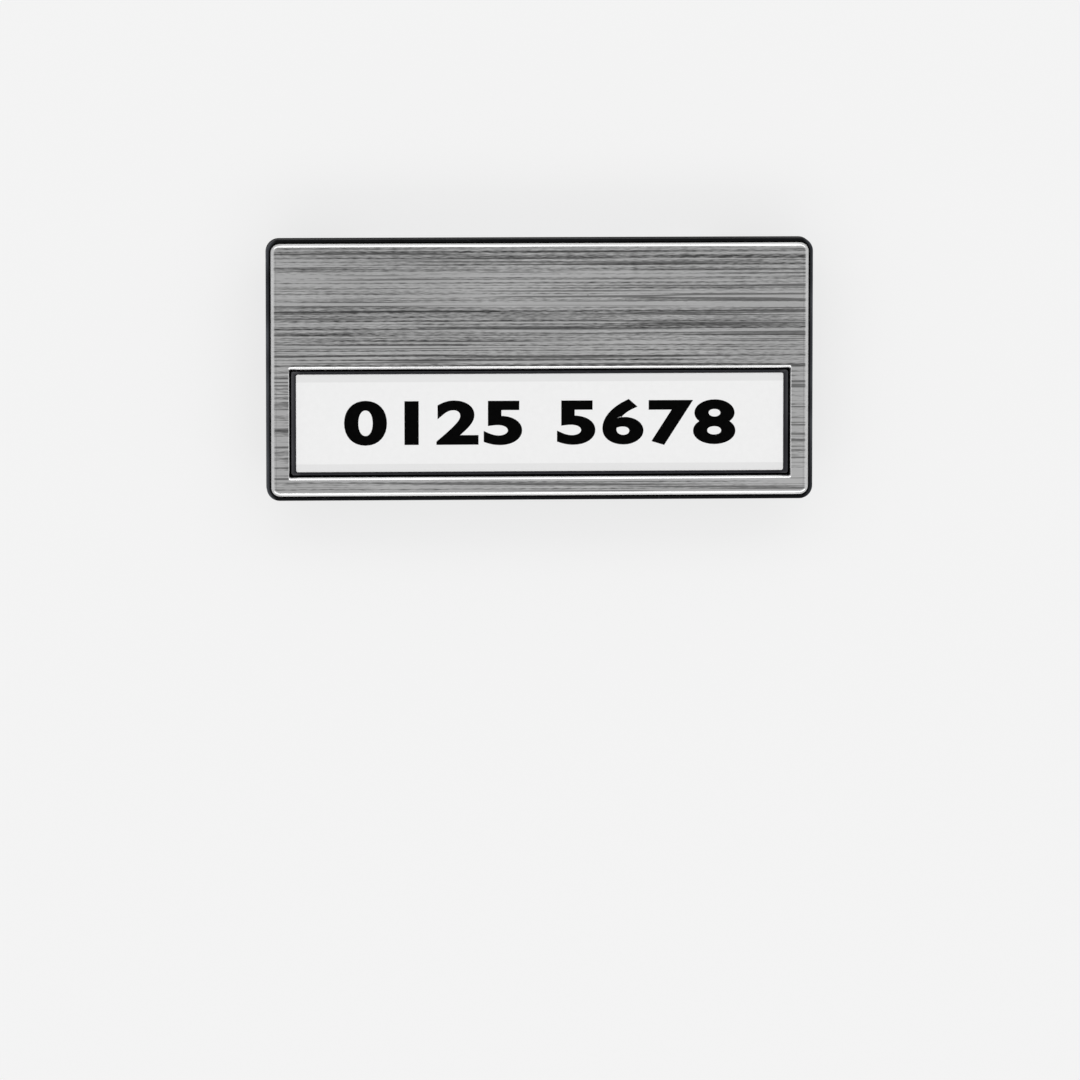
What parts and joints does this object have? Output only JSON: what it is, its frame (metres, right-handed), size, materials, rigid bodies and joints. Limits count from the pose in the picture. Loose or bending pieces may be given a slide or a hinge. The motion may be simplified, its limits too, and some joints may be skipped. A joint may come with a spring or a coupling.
{
  "type": "name badge",
  "caption": "Rectangular name badge with a brushed face plate, a long window with a push-out name insert, and a magnet bar fastener behind.",
  "frame": {"origin": "under the middle of the badge, on the surface that its magnet bar rests on", "axes": "+X to the right and +Y up as the badge is read, +Z out of its face"},
  "size_m": [0.066, 0.0316, 0.0076],
  "materials": {
    "case_plastic": "gloss",
    "brushed_plate": "satin",
    "insert_plastic": "gloss",
    "card": "satin",
    "keeper_steel": "satin",
    "zinc_steel": "satin",
    "magnet_nickel": "polished"
  },
  "bodies": {
    "magnet_bar": {"magnet_cover": "zinc_steel", "magnet_left": "magnet_nickel", "magnet_right": "magnet_nickel"},
    "badge": {"back_shell": "case_plastic", "face_plate": "brushed_plate", "keeper_plate": "keeper_steel"},
    "insert": {"insert_tray": "insert_plastic", "name_card": "card"},
    "tab": {"push_tab": "case_plastic"}
  },
  "joints": [
    {"name": "bar_release", "type": "slide", "parent": "magnet_bar", "child": "badge", "axis": [0, 0, 1], "range_m": [0, 0.012]},
    {"name": "insert_release", "type": "slide", "parent": "badge", "child": "insert", "axis": [0, 0, 1], "range_m": [0, 0.008]},
    {"name": "tab_flex", "type": "hinge", "parent": "badge", "child": "tab", "pos_m": [0.00714, -0.00643, 0.0047], "axis": [0, 1, 0], "range_deg": [0, 1.9], "stiffness_Nm_per_rad": 0.01}
  ]
}
